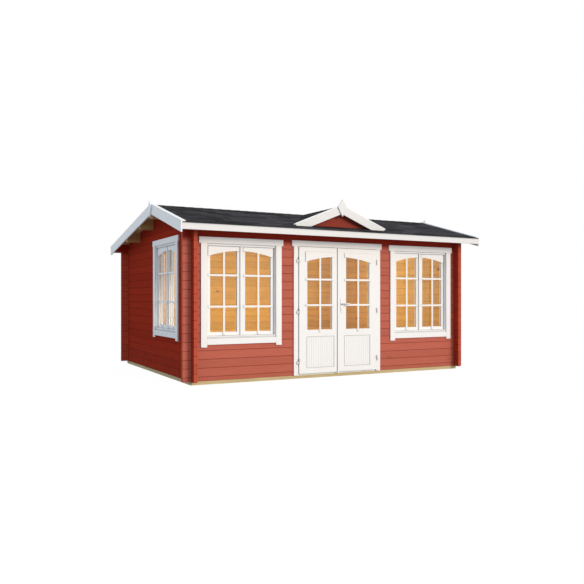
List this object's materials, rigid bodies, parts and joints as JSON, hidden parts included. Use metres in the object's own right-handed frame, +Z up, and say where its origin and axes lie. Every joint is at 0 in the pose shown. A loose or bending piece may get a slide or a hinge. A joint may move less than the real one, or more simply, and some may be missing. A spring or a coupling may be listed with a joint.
{
  "type": "log garden cabin",
  "caption": "Red log garden cabin with an uneven gable roof, a glazed double door under a dormer gable, and arched double windows.",
  "frame": {"origin": "on the ground, under the middle of the roof's outline", "axes": "+X along the front to the right as seen from the front, +Y from the front to the rear, +Z up"},
  "size_m": [4.956, 3.901, 2.5446],
  "materials": {
    "painted_logs": "oxide-red satin paint on planed softwood logs",
    "white_paint": "white satin paint on planed boards",
    "base_timber": "pale green pressure-treated softwood, unpainted",
    "roof_pine": "unpainted planed pine",
    "floor_pine": "unpainted planed pine boards",
    "shingles": "dark grey mineral-faced bitumen shingles, matt",
    "glass": "clear float glass",
    "door_metal": "satin steel"
  },
  "bodies": {
    "root": {"base_long_beams": "base_timber", "base_cross_beams": "base_timber", "floor_boards": "floor_pine", "front_wall_left": "painted_logs", "front_wall_right": "painted_logs", "front_wall_top": "painted_logs", "rear_wall": "painted_logs", "left_wall": "painted_logs", "right_wall": "painted_logs", "left_gable": "painted_logs", "right_gable": "painted_logs", "ridge_beam": "roof_pine", "rear_purlins": "roof_pine", "front_roof_boards": "roof_pine", "rear_roof_boards": "roof_pine", "front_shingles": "shingles", "rear_shingles": "shingles", "ridge_cap": "shingles", "left_bargeboards": "white_paint", "right_bargeboards": "white_paint", "verge_strips": "white_paint", "fascia_boards": "white_paint", "gable_finials": "white_paint", "dormer_gable": "painted_logs", "dormer_roof_boards": "roof_pine", "dormer_shingles": "shingles", "dormer_bargeboards": "white_paint", "dormer_finial": "white_paint", "window_casings": "white_paint", "left_window_frame": "white_paint", "right_window_frame": "white_paint", "side_window_frame": "white_paint", "left_window_sashes": "white_paint", "right_window_sashes": "white_paint", "side_window_sashes": "white_paint", "window_glass": "glass", "door_casing": "white_paint", "door_frame": "white_paint", "frame_hinges": "door_metal"},
    "left_door": {"left_door_leaf": "white_paint", "left_door_glass": "glass", "left_door_hinges": "door_metal"},
    "right_door": {"right_door_leaf": "white_paint", "right_door_glass": "glass", "right_door_hinges": "door_metal", "handle_plates": "door_metal"},
    "door_lever": {"door_handle": "door_metal"}
  },
  "joints": [
    {"name": "left_door_swing", "type": "hinge", "parent": "root", "child": "left_door", "pos_m": [-0.6595, -1.695, 0.068], "axis": [0, 0, -1], "range_deg": [0, 115]},
    {"name": "right_door_swing", "type": "hinge", "parent": "root", "child": "right_door", "pos_m": [0.6595, -1.695, 0.068], "axis": [0, 0, 1], "range_deg": [0, 115]},
    {"name": "lever_turn", "type": "hinge", "parent": "right_door", "child": "door_lever", "pos_m": [0.042, -1.6875, 1.048], "axis": [0, 1, 0], "range_deg": [0, 40], "stiffness_Nm_per_rad": 1, "springref_deg": -20.05}
  ]
}
